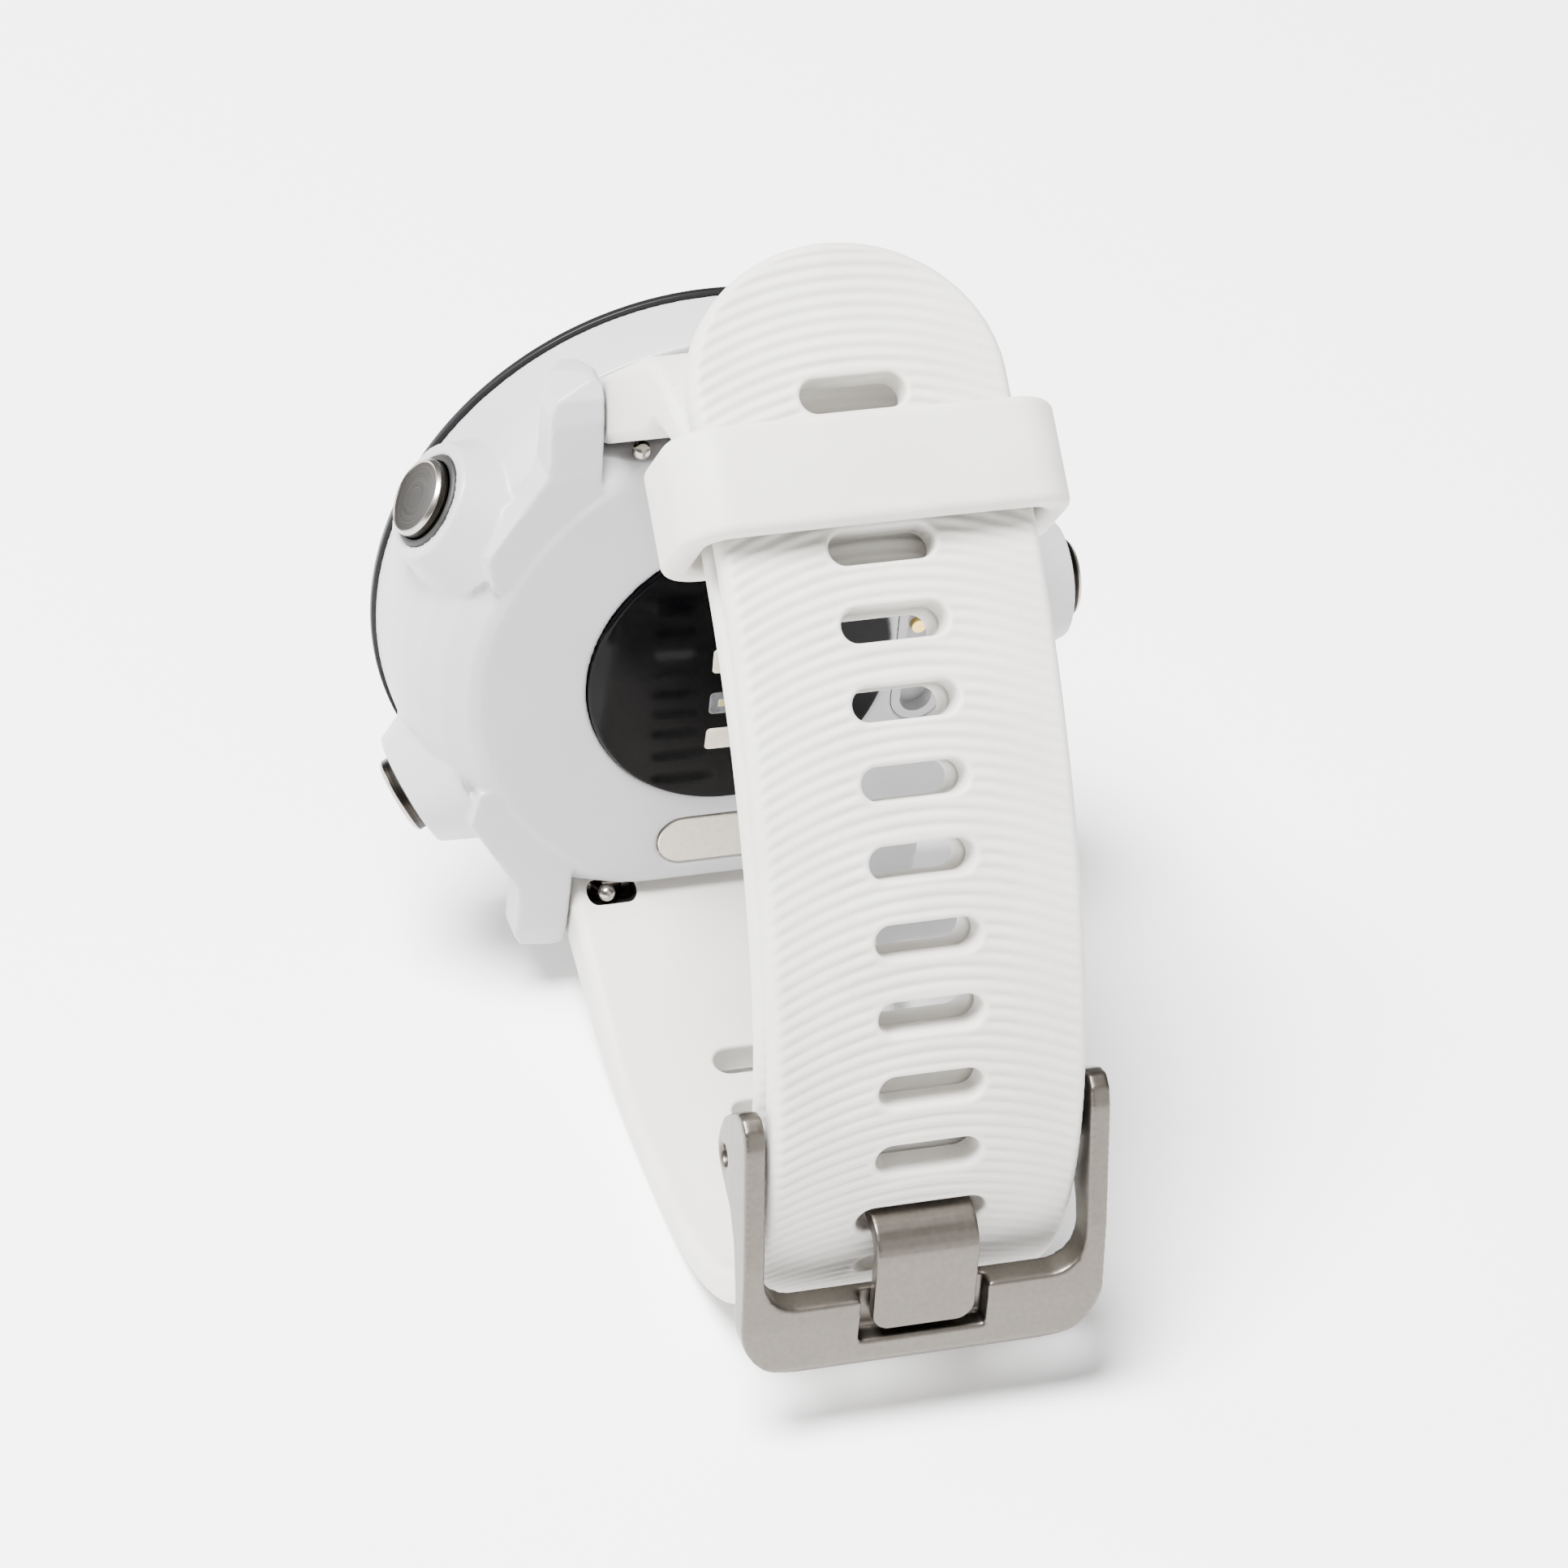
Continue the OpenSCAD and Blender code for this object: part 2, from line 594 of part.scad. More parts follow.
// ---- Buckle -------------------------------------------------------------------------------
// Side view of the frame: an arm that starts above the pivot and runs down to the bar
module buckle_side() {
    polygon([[36.8, -7], [37.3, -5.6], [38.5, -4.3], [39.8, -3.3], [40.7, -3.1], [41.5, -3.6],
        [42, -4.7], [43.9, -12.5], [44.6, -17], [44.7, -20.2], [44.3, bar_outer_z],
        [43.1, bar_outer_z], [42.8, -18.5], [42.5, bar_inner_z], [41.3, -12.4], [40, -10.6],
        [38.2, -9.6], [37.1, -8.8], [36.7, -7.9]]);
}
module buckle_frame() {
    color(steel) difference() {
        intersection() {
            across(-buckle_w / 2, buckle_w / 2) buckle_side();
            slab(30, 50) rounded_outline(buckle_w / 2, bar_outer_z, 0, 4);
        }
        slab(30, 50) rounded_outline(buckle_w / 2 - arm_t, bar_inner_z, 4, 2.2);
        // Rest for the tongue's tip
        box([-tongue_w / 2 - 0.8, 43.25, -18.8], [tongue_w / 2 + 0.8, 50, 0]);
        rod_x(-20, 20, pivot[0], pivot[1], bar_r + 0.01);
    }
}
tongue_start = [pivot[0], pivot[1], -75];
tongue_arcs = [[1.7, 0, -75], [2, -1.8, -12], [2.3, 0, -12], [2.6, 2, -87], [5, 0, -87]];
tongue_joints = [for (i = 0, p = tongue_start; i <= len(tongue_arcs);
    p = i < len(tongue_arcs) ? arc_end(p, tongue_arcs[i]) : p, i = i + 1) p];
tongue_path = concat([for (i = [0 : len(tongue_arcs) - 1])
    each arc_points(tongue_joints[i], tongue_arcs[i])], [tongue_joints[len(tongue_arcs)]]);
module tongue_side() {
    polygon(concat([for (p = tongue_path) outward(p, tongue_t / 2)],
        [for (i = [len(tongue_path) - 1 : -1 : 0]) outward(tongue_path[i], -tongue_t / 2)]));
}
module buckle_tongue() {
    color(steel) difference() {
        intersection() {
            union() {
                across(-tongue_w / 2, tongue_w / 2) tongue_side();
                rod_x(-tongue_w / 2, tongue_w / 2, pivot[0], pivot[1], tongue_ring_r, $fn);
            }
            slab(30, 50) rounded_outline(tongue_w / 2, tongue_joints[len(tongue_arcs)][1], 0, 1.2);
        }
        rod_x(-20, 20, pivot[0], pivot[1], bar_r + pivot_clear);
    }
}
module buckle_bar() {
    color(steel) rod_x(-buckle_w / 2 + 0.3, buckle_w / 2 - 0.3, pivot[0], pivot[1], bar_r);
}

module placed() {
    translate([-footprint[0], -footprint[1], -lowest_z]) children();
}
placed() {
    case_body();
    bezel_ring();
    front_lens();
    lens_gasket();
    display_panel();
    display_frame();
    main_board();
    board_shields();
    board_screws();
    battery();
    gps_antenna();
    vibration_motor();
    sensor_lens();
    sensor_windows();
    sensor_leds();
    sensor_board();
    sensor_gasket();
    charge_port();
    charge_contacts();
    id_plate();
    button(button_places[0]);  // button_upper
    button(button_places[1]);  // button_lower
    button(button_places[2]);  // button_left
    button_collars();
    seal(button_places[0]);  // seal_upper
    seal(button_places[1]);  // seal_lower
    seal(button_places[2]);  // seal_left
    clip(button_places[0]);  // clip_upper
    clip(button_places[1]);  // clip_lower
    clip(button_places[2]);  // clip_left
    dome_switches();
    strap_long();
    strap_short();
    keeper_loop();
    spring_bar(1);  // spring_bar_upper
    spring_bar(-1);  // spring_bar_lower
    bar_pins();
    release_pin(1);  // release_pin_upper
    release_pin(-1);  // release_pin_lower
    buckle_frame();
    buckle_tongue();
    buckle_bar();
}
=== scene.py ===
"""Looks of a golf GPS watch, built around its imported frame. Lengths are in millimetres from the
middle of the case back, in the frame's own directions, until `to_row` turns them into metres."""
import json
import math

import bmesh
import bpy
import numpy as np
from mathutils import Matrix, Vector

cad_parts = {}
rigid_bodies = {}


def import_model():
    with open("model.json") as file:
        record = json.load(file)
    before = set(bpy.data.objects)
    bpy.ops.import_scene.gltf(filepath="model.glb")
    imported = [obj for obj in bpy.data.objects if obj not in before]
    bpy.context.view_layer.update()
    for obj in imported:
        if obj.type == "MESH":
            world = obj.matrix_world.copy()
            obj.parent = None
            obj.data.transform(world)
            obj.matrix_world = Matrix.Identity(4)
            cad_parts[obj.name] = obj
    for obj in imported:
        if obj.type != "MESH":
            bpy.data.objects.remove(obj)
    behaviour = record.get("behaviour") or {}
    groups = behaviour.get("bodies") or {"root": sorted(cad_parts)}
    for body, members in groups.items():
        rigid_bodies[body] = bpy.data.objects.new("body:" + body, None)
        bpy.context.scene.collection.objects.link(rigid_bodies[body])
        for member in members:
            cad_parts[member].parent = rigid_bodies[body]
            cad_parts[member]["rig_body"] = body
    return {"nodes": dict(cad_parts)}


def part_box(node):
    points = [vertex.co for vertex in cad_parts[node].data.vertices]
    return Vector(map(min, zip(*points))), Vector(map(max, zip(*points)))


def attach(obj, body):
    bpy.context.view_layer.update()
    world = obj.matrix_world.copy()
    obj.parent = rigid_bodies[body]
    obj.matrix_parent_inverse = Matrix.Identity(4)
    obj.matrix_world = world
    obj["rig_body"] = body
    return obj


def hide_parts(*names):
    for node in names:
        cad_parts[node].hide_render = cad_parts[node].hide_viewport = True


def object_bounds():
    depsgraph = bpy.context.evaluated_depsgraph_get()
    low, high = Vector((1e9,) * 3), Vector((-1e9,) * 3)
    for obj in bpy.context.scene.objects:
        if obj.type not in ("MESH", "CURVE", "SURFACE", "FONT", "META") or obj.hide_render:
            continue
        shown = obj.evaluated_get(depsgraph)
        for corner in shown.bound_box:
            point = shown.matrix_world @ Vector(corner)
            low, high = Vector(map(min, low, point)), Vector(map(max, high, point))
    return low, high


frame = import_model()
cad_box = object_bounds()
nodes = frame["nodes"]

MM = 0.001
GLASS_DEPTH = 12.3      # from the flat of the case back to the front of the glass
glass_low, glass_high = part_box("front_lens")
CASE = np.array([(glass_low.x + glass_high.x) / 2, glass_low.y + GLASS_DEPTH * MM,
                 (glass_low.z + glass_high.z) / 2])


def to_row(points):
    return CASE + np.asarray(points, float) * MM


# ---- Materials ----------------------------------------------------------------------------
def linear(code):
    channels = [int(code[i:i + 2], 16) / 255 for i in (0, 2, 4)]
    return [c / 12.92 if c <= 0.04045 else ((c + 0.055) / 1.055) ** 2.4 for c in channels] + [1]


def add(tree, kind, inputs=None, **settings):
    made = tree.nodes.new("ShaderNode" + kind)
    for name, value in settings.items():
        setattr(made, name, value)
    for name, value in (inputs or {}).items():
        if isinstance(value, bpy.types.NodeSocket):
            tree.links.new(value, made.inputs[name])
        else:
            made.inputs[name].default_value = value
    return made


def material(name, colour, roughness, **sockets):
    made = bpy.data.materials.new(name)
    made.use_nodes = True
    shader = made.node_tree.nodes["Principled BSDF"]
    shader.inputs["Base Color"].default_value = linear(colour)
    shader.inputs["Roughness"].default_value = roughness
    for socket, value in sockets.items():
        shader.inputs[socket.replace("_", " ")].default_value = value
    return made


def millimetres(tree):
    """Position on the object, in millimetres."""
    place = add(tree, "TexCoord").outputs["Object"]
    return add(tree, "VectorMath", {0: place, 1: (1000, 1000, 1000)},
               operation="MULTIPLY").outputs[0]


def grain(made, size, strength, depth, detail=3.0):
    """Bump from noise whose lumps are size millimetres across and depth millimetres high."""
    tree = made.node_tree
    shader = tree.nodes["Principled BSDF"]
    noise = add(tree, "TexNoise", {"Vector": millimetres(tree), "Scale": 1 / size,
                                   "Detail": detail})
    bump = add(tree, "Bump", {"Height": noise.outputs["Fac"], "Strength": strength,
                              "Distance": depth * MM})
    tree.links.new(bump.outputs[0], shader.inputs["Normal"])


def mottle(made, colour, other, size, low=0.4, high=0.6):
    """Slow change between two close colours, in patches size millimetres across."""
    tree = made.node_tree
    noise = add(tree, "TexNoise", {"Vector": millimetres(tree), "Scale": 1 / size, "Detail": 4.0})
    ramp = add(tree, "ValToRGB", {"Fac": noise.outputs["Fac"]})
    ramp.color_ramp.elements[0].position = low
    ramp.color_ramp.elements[1].position = high
    ramp.color_ramp.elements[0].color = linear(colour)
    ramp.color_ramp.elements[1].color = linear(other)
    tree.links.new(ramp.outputs[0], tree.nodes["Principled BSDF"].inputs["Base Color"])


def uneven_gloss(made, low, high, size):
    tree = made.node_tree
    noise = add(tree, "TexNoise", {"Vector": millimetres(tree), "Scale": 1 / size, "Detail": 5.0})
    span = add(tree, "MapRange", {"Value": noise.outputs["Fac"], "To Min": low, "To Max": high})
    tree.links.new(span.outputs[0], tree.nodes["Principled BSDF"].inputs["Roughness"])


def moulded_silicone(name, colour, other):
    """Silicone rubber from a bead-blasted mould: matte, and light goes a little way into it."""
    made = material(name, colour, 0.5, IOR=1.41, Subsurface_Weight=0.22, Subsurface_Scale=0.0007)
    made.node_tree.nodes["Principled BSDF"].inputs["Subsurface Radius"].default_value = (1, 0.9, 0.75)
    mottle(made, colour, other, 6.0)
    grain(made, 0.09, 0.35, 0.012)
    uneven_gloss(made, 0.44, 0.58, 2.5)
    return made


def moulded_polymer(name, colour, other, roughness=0.38, specular=0.5):
    """Glass-filled nylon from a spark-eroded mould: an even, fine, cool sheen."""
    made = material(name, colour, roughness, IOR=1.53, Specular_IOR_Level=specular)
    mottle(made, colour, other, 9.0)
    grain(made, 0.07, 0.3, 0.01)
    uneven_gloss(made, roughness - 0.05, roughness + 0.07, 3.0)
    return made


def bead_blasted_steel(name, colour, other, roughness):
    """Stainless steel blasted with glass beads: a warm satin with a fine sparkle."""
    made = material(name, colour, roughness, Metallic=1.0)
    mottle(made, colour, other, 0.35, 0.3, 0.7)
    grain(made, 0.05, 0.4, 0.006, 6.0)
    uneven_gloss(made, roughness - 0.05, roughness + 0.06, 0.6)
    return made


def turned_steel(name, colour, other, roughness):
    """Steel faced off on a lathe: rings about the axis, whose light turns with the eye."""
    made = material(name, colour, roughness, Metallic=1.0, Anisotropic=0.7)
    tree = made.node_tree
    shader = tree.nodes["Principled BSDF"]
    # The mesh's own map: turns about the axis, and millimetres along the outline
    place = add(tree, "UVMap", uv_map="turning").outputs[0]
    stretched = add(tree, "VectorMath", {0: place, 1: (3.0, 14.0, 1.0)}, operation="MULTIPLY")
    lines = add(tree, "TexNoise", {"Vector": stretched.outputs[0], "Scale": 1.0, "Detail": 3.0})
    ramp = add(tree, "ValToRGB", {"Fac": lines.outputs["Fac"]})
    ramp.color_ramp.elements[0].position = 0.35
    ramp.color_ramp.elements[1].position = 0.65
    ramp.color_ramp.elements[0].color = linear(colour)
    ramp.color_ramp.elements[1].color = linear(other)
    bump = add(tree, "Bump", {"Height": lines.outputs["Fac"], "Strength": 0.5,
                              "Distance": 0.008 * MM})
    tangent = add(tree, "Tangent", direction_type="UV_MAP", uv_map="turning")
    tree.links.new(ramp.outputs[0], shader.inputs["Base Color"])
    tree.links.new(bump.outputs[0], shader.inputs["Normal"])
    tree.links.new(tangent.outputs[0], shader.inputs["Tangent"])
    return made


def plain(name, colour, other, roughness, lump=0.2, **sockets):
    """Small parts: a quiet colour with a fine grain."""
    made = material(name, colour, roughness, **sockets)
    mottle(made, colour, other, 1.5)
    grain(made, lump, 0.25, 0.01)
    return made


silicone = moulded_silicone("silicone_white_moulded", "CCCAC5", "C7C4BE")
case_polymer = moulded_polymer("nylon_white_moulded", "ACABAE", "A7A7AA")
bezel_polymer = moulded_polymer("nylon_black_moulded", "0A0A0B", "0E0E0F", 0.42, 0.25)
steel_buckle = bead_blasted_steel("stainless_warm_blasted", "5B5751", "615C56", 0.37)
steel_plate = bead_blasted_steel("stainless_pale_blasted", "CFC9BC", "DAD5C9", 0.4)
steel_button = turned_steel("steel_dark_turned", "131211", "38342F", 0.28)
steel_bevel = turned_steel("steel_bright_turned", "8A857E", "A8A39B", 0.2)
# Painted shade: a dull, dark metal colour on the release pocket's walls, standing in for the shadow
# deep in the pocket around the spring bar
pocket_painted_shade = plain("pocket_painted_shade_dark", "3A3835", "45423E", 0.45, Metallic=1.0)
# Ground stainless steel: the knobs and the buckle's bar catch one clear highlight
steel_knob = plain("stainless_knob", "8F8A83", "9A958E", 0.22, Metallic=1.0)
# Polished stainless steel: bright pins, screws and shields
steel_pin = plain("stainless_polished", "B9B4AC", "C8C3BB", 0.18, Metallic=1.0)
# Smoke-black polycarbonate, polished: deep black, with a soft image of the strap in it
sensor_gloss = plain("polycarbonate_black_polished", "020203", "040405", 0.09, 2.0,
                     Specular_IOR_Level=0.08)
# Clear and smoked cells behind the window: a wet gloss over beige and over dark grey
window_pale = plain("sensor_beige_under_gloss", "CFC7B5", "BDB4A0", 0.12, IOR=1.5, Coat_Weight=1.0)
window_dark = plain("sensor_smoke_under_gloss", "2E2F33", "4A4B50", 0.1, IOR=1.5, Coat_Weight=1.0)
# Cast epoxy over small lamps: yellowish and glassy
led_lens = plain("led_epoxy", "C9BC86", "8E8B62", 0.15, IOR=1.5)
# Antireflection-coated glass: the coat takes most of the mirror off the front
glass = material("glass_coated", "FFFFFF", 0.02, IOR=1.2, Transmission_Weight=1.0)
# Reflective display laminated in plastic: flat greys and a green, with hardly any gloss
screen_off = plain("display_black_laminated", "07090C", "090B0F", 0.2, Specular_IOR_Level=0.1)
screen_green = plain("display_green_lit", "2C6B36", "357A40", 0.4, 2.0, Specular_IOR_Level=0.1)
screen_grey = plain("display_grey_lit", "A9B0B5", "AEB5BA", 0.4, Specular_IOR_Level=0.1)
# Compression-moulded rubber: black and quite dull
rubber = plain("rubber_black_moulded", "141414", "1C1B1A", 0.6, 0.1)
# Solder-resist on glass-epoxy board: green with a semi-gloss
board = plain("epoxy_green_board", "14452E", "1B5438", 0.4)
# Crinkled aluminium laminate of a pouch cell: silvery and uneven
foil = plain("aluminium_laminate", "C6C8CB", "D4D6D8", 0.3, 0.4, Metallic=1.0)
# Electroplated gold: warm and smooth
gold = plain("gold_plated", "D9B25C", "E4C274", 0.22, Metallic=1.0)


# ---- Shapes -------------------------------------------------------------------------------
def piece(name, points, faces, finish, body, replaced=(), smooth=True):
    """A mesh from points in case millimetres, riding on its body."""
    mesh = bpy.data.meshes.new(name)
    mesh.from_pydata(to_row(points).tolist(), [], faces)
    made = bpy.data.objects.new(name, mesh)
    bpy.context.scene.collection.objects.link(made)
    mesh.materials.append(finish)
    tidy = bmesh.new()
    tidy.from_mesh(mesh)
    bmesh.ops.remove_doubles(tidy, verts=tidy.verts, dist=1e-7)
    bmesh.ops.dissolve_degenerate(tidy, edges=tidy.edges, dist=1e-8)
    bmesh.ops.recalc_face_normals(tidy, faces=tidy.faces)
    tidy.to_mesh(mesh)
    tidy.free()
    mesh.polygons.foreach_set("use_smooth", [smooth] * len(mesh.polygons))
    return settle(made, body, replaced)


def settle(made, body, replaced):
    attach(made, body)
    if replaced:
        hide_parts(*replaced)
    return made


def rounded(corners, steps=6, closed=True):
    """Outline of [a, b, radius] corners with each corner turned into an arc."""
    outline = []
    count = len(corners)
    for i, (a, b, radius) in enumerate(corners):
        if radius == 0 or (not closed and i in (0, count - 1)):
            outline.append((a, b))
            continue
        here = np.array([a, b], float)
        before = np.array(corners[i - 1][:2], float) - here
        after = np.array(corners[(i + 1) % count][:2], float) - here
        before /= np.linalg.norm(before)
        after /= np.linalg.norm(after)
        half = math.acos(np.clip(before @ after, -1, 1)) / 2
        middle = (before + after) / np.linalg.norm(before + after)
        centre = here + middle * radius / math.sin(half)
        first = here + before * radius / math.tan(half) - centre
        last = here + after * radius / math.tan(half) - centre
        turn = math.atan2(first[0] * last[1] - first[1] * last[0], first @ last)
        for k in range(steps + 1):
            angle = turn * k / steps
            outline.append((centre[0] + first[0] * math.cos(angle) - first[1] * math.sin(angle),
                            centre[1] + first[0] * math.sin(angle) + first[1] * math.cos(angle)))
    return outline


def turned(name, profile, origin, axis, finish, body, replaced=(), segments=160, second=None):
    """Closed profile of (radius, height) turned about an axis. second is (material, r, height):
    faces outside that radius and above that height take the other material."""
    axis = Vector(axis).normalized()
    side = Vector((0, 1, 0)).cross(axis)
    side = side.normalized() if side.length > 0.1 else Vector((1, 0, 0))
    across = axis.cross(side)
    angles = np.arange(segments) * 2 * math.pi / segments
    around = np.outer(np.cos(angles), side) + np.outer(np.sin(angles), across)
    points = np.concatenate([np.array(origin) + around * r + np.array(axis) * h
                             for r, h in profile])
    rings = len(profile)
    faces = []
    for i in range(rings):
        n = (i + 1) % rings
        for k in range(segments):
            m = (k + 1) % segments
            faces.append((i * segments + k, i * segments + m, n * segments + m, n * segments + k))
    made = piece(name, points, faces, finish, body, replaced)
    write_turning_map(made, origin, axis, side, across)
    if second:
        made.data.materials.append(second[0])
        for face in made.data.polygons:
            local = Vector((np.array(face.center) - CASE) / MM) - Vector(origin)
            height = local.dot(axis)
            if (local - axis * height).length > second[1] and height > second[2]:
                face.material_index = 1
    return made


def write_turning_map(made, origin, axis, side, across):
    """Map of turns about the axis and millimetres along the outline, for turned finishes."""
    mesh = made.data
    layer = mesh.uv_layers.new(name="turning")
    for face in mesh.polygons:
        corners = []
        for loop in face.loop_indices:
            place = Vector((np.array(mesh.vertices[mesh.loops[loop].vertex_index].co) - CASE) / MM)
            place -= Vector(origin)
            height = place.dot(axis)
            flat = place - axis * height
            turn = math.atan2(flat.dot(across), flat.dot(side)) / (2 * math.pi)
            corners.append((loop, turn, flat.length - height))
        turns = [c[1] for c in corners]
        for loop, turn, along in corners:
            if max(turns) - min(turns) > 0.5 and turn < 0:
                turn += 1
            layer.data[loop].uv = (turn, along)


def softened(name, node, finish, voxel, rounds):
    """A copy of a node's solid with its edges rounded off as a mould or a tumbler leaves them."""
    source = nodes[node]
    made = bpy.data.objects.new(name, source.data.copy())
    bpy.context.scene.collection.objects.link(made)
    made.data.materials.clear()
    made.data.materials.append(finish)
    remesh = made.modifiers.new("voxels", "REMESH")
    remesh.mode = "VOXEL"
    remesh.voxel_size = voxel * MM
    remesh.use_smooth_shade = True
    smooth = made.modifiers.new("soft edges", "SMOOTH")
    smooth.factor = 0.5
    smooth.iterations = rounds
    apply_modifiers(made)
    return settle(made, source["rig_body"], [node])


def apply_modifiers(made):
    bpy.context.view_layer.update()
    graph = bpy.context.evaluated_depsgraph_get()
    result = bpy.data.meshes.new_from_object(made.evaluated_get(graph))
    made.modifiers.clear()
    old = made.data
    made.data = result
    bpy.data.meshes.remove(old)
    result.polygons.foreach_set("use_smooth", [True] * len(result.polygons))


# ---- Straps -------------------------------------------------------------------------------
HALF = 10.0             # half of the strap's width
STRAP_T = 2.35
ROOT_T = 4.2
BAR = (-3.2, 19.0)      # the spring bars' y, and their z either way
PIVOT = (38.2, -7.9)
EYE_R = 1.65            # silicone around the buckle's bar
EYE_BORE = 0.76
LONG_BENDS = [(0, 0), (14, 0), (22, 51.1), (36, 75.8), (50, 36.5), (60, 24.6), (66, 16.3),
              (76, 15.4), (84, 27.1), (94, 112.6), (104, 29.4), (110, 0), (130, 0)]
LONG_START = (8.2, 37.8, -38.0)
LONG_L = 116.9
SHORT_START = (BAR[0] - 1.33, BAR[1] + 1.63, 39.3)
SHORT_TURNS = [(11.3, 0, 39.3), (4.7, 6.5, -2), (6.4, 37, -12), (2.9, 6.5, -38)]
SHORT_THICKNESS = [(0, ROOT_T), (10, 4.9), (13, 4.5), (20, 2.5), (24, STRAP_T), (90, STRAP_T)]
LAYER_GAP = 0.3
SHARED = (14.4, 58.6)   # stretch of the long strap that the short one lies under
SLOT_FIRST, SLOT_PITCH = 9.8, 4.8
SLOT_HALF, SLOT_R = 3.33, 1.05
TONGUE_SLOT = 11
TONGUE_SLOT_EXTRA = 0.77  # the tongue's slot reaches this much further to each side
TONGUE_ROOM = 3.75      # half width of the gap in the short strap's end for the tongue's ring
TONGUE_ROOM_DEPTH = 0.75
FINE = 0.1              # step along the straps' paths

RIB_PITCH = 0.87
RIB_DEPTH = 0.16
RIB_BOW = 21.0          # radius of the ribs' arcs
TIP = 9.2               # length of the rounded tip
EDGE_R, RIM_R = 0.75, 0.36


def walk(bends, start, length):
    """Rows of y, z, heading and distance along a path whose curvature changes evenly."""
    count = math.ceil(length / FINE)
    step = length / count
    where = (np.arange(count) + 0.5) * step
    curvature = np.interp(where, [b[0] for b in bends], [1 / b[1] if b[1] else 0 for b in bends])
    heading = math.radians(start[2]) - np.concatenate([[0], np.cumsum(curvature * step)])
    middle = (heading[1:] + heading[:-1]) / 2
    y = start[0] + np.concatenate([[0], np.cumsum(np.cos(middle) * step)])
    z = start[1] + np.concatenate([[0], np.cumsum(np.sin(middle) * step)])
    return np.c_[y, z, heading, np.arange(count + 1) * step]


def bend(path, s, x, out):
    """Flat strap coordinates laid along a path, which goes on straight past its ends."""
    inside = np.clip(s, path[0, 3], path[-1, 3])
    y, z, heading = (np.interp(inside, path[:, 3], path[:, k]) for k in range(3))
    past = s - inside
    y = y + past * np.cos(heading) - out * np.sin(heading)
    z = z + past * np.sin(heading) + out * np.cos(heading)
    return np.c_[x, y, z]


def short_walk():
    """The short strap's path, and its own distance at each distance along the long one."""
    y, z, heading = SHORT_START[0], SHORT_START[1], SHORT_START[2]
    rows = [(y, z, math.radians(heading))]
    for length, radius, end in SHORT_TURNS:
        count = round(length / FINE)
        # An arc's length follows from its radius, and a straight's is as given
        length = math.radians(abs(end - heading)) * radius if radius else length
        for k in range(count):
            now = math.radians(heading + (end - heading) * (k + 1) / count)
            middle = math.radians(heading + (end - heading) * (k + 0.5) / count)
            y, z = y + math.cos(middle) * length / count, z + math.sin(middle) * length / count
            rows.append((y, z, now))
        heading = end
    shared = np.arange(SHARED[0], SHARED[1] + FINE / 2, FINE)
    under = bend(long_path, shared, shared * 0, shared * 0 - STRAP_T - LAYER_GAP)
    turn = np.interp(shared, long_path[:, 3], long_path[:, 2])
    rows = np.concatenate([rows, np.c_[under[:, 1:], turn]])
    steps = np.linalg.norm(np.diff(rows[:, :2], axis=0), axis=1)
    along = np.concatenate([[0], np.cumsum(steps)])
    return np.c_[rows, along], shared, along[-len(shared):]


def pill_distance(s, x, centre, half, radius):
    """Distance outwards from a slot's rim."""
    nearest = np.clip(x, -(half - radius), half - radius)
    return np.hypot(s - centre, x - nearest) - radius


def round_over(distance, radius):
    """How far a rounded edge has dropped at a distance in from it."""
    left = np.clip(radius - distance, 0, radius)
    return radius - np.sqrt(np.maximum(radius ** 2 - left ** 2, 0))


def slotted_plan(rows, columns, width, slots, notch=None):
    """A strap's plan as (s, x) points and quads, with rings of quads around each slot."""
    across = len(columns)
    plan = [(s, c * w) for s, w in zip(rows, width) for c in columns]
    skipped = set()
    faces = []
    cell = SLOT_PITCH / 2
    left, right = (int(np.argmin(abs(columns * HALF - side * CELL_X))) for side in (-1, 1))
    for centre, half in slots:
        top, low = (int(np.argmin(abs(rows - centre - side * cell))) for side in (-1, 1))
        skipped |= {(i, j) for i in range(top, low) for j in range(left, right)}
        loop = ([top * across + j for j in range(left, right)]
                + [i * across + right for i in range(top, low)]
                + [low * across + j for j in range(right, left, -1)]
                + [i * across + left for i in range(low, top, -1)])
        outer = np.array([plan[i] for i in loop])
        nearest = np.clip(outer[:, 1], -(half - SLOT_R), half - SLOT_R)
        spoke = outer - np.c_[np.full(len(loop), centre), nearest]
        reach = np.linalg.norm(spoke, axis=1, keepdims=True)
        rim = outer - spoke * (1 - SLOT_R / reach)
        gap = reach - SLOT_R
        before = loop
        near = [0.36, 0.27, 0.18, 0.1, 0.04, 0]
        far = 9
        for ring in range(1, far + len(near)):
            if ring < far:
                part = 1 - (1 - near[0] / gap) * ring / far
            else:
                part = near[ring - far] / gap
            start = len(plan)
            plan += [tuple(p) for p in rim + (outer - rim) * part]
            after = list(range(start, start + len(loop)))
            for k in range(len(loop)):
                n = (k + 1) % len(loop)
                faces.append((before[k], before[n], after[n], after[k]))
            before = after
    for i in range(len(rows) - 1):
        for j in range(across - 1):
            a = i * across + j
            if (i, j) in skipped or (notch and rows[i] >= notch[0]
                                     and max(abs(plan[a][1]), abs(plan[a + 1][1])) <= notch[1]):
                continue
            faces.append((a, a + 1, a + across + 1, a + across))
    return np.array(plan), faces


CELL_X = 5.2            # half width of the patch of quads around a slot
columns = np.unique(np.round(np.concatenate([
    np.arange(-CELL_X, CELL_X + 0.01, 0.4),
    [side * x for side in (-1, 1) for x in
     (5.7, 6.2, 6.7, 7.2, 7.7, 8.2, 8.6, 8.95, 9.25, 9.45, 9.6, 9.72, 9.82, 9.9, 9.95, 9.98, 10)],
]), 4)) / HALF


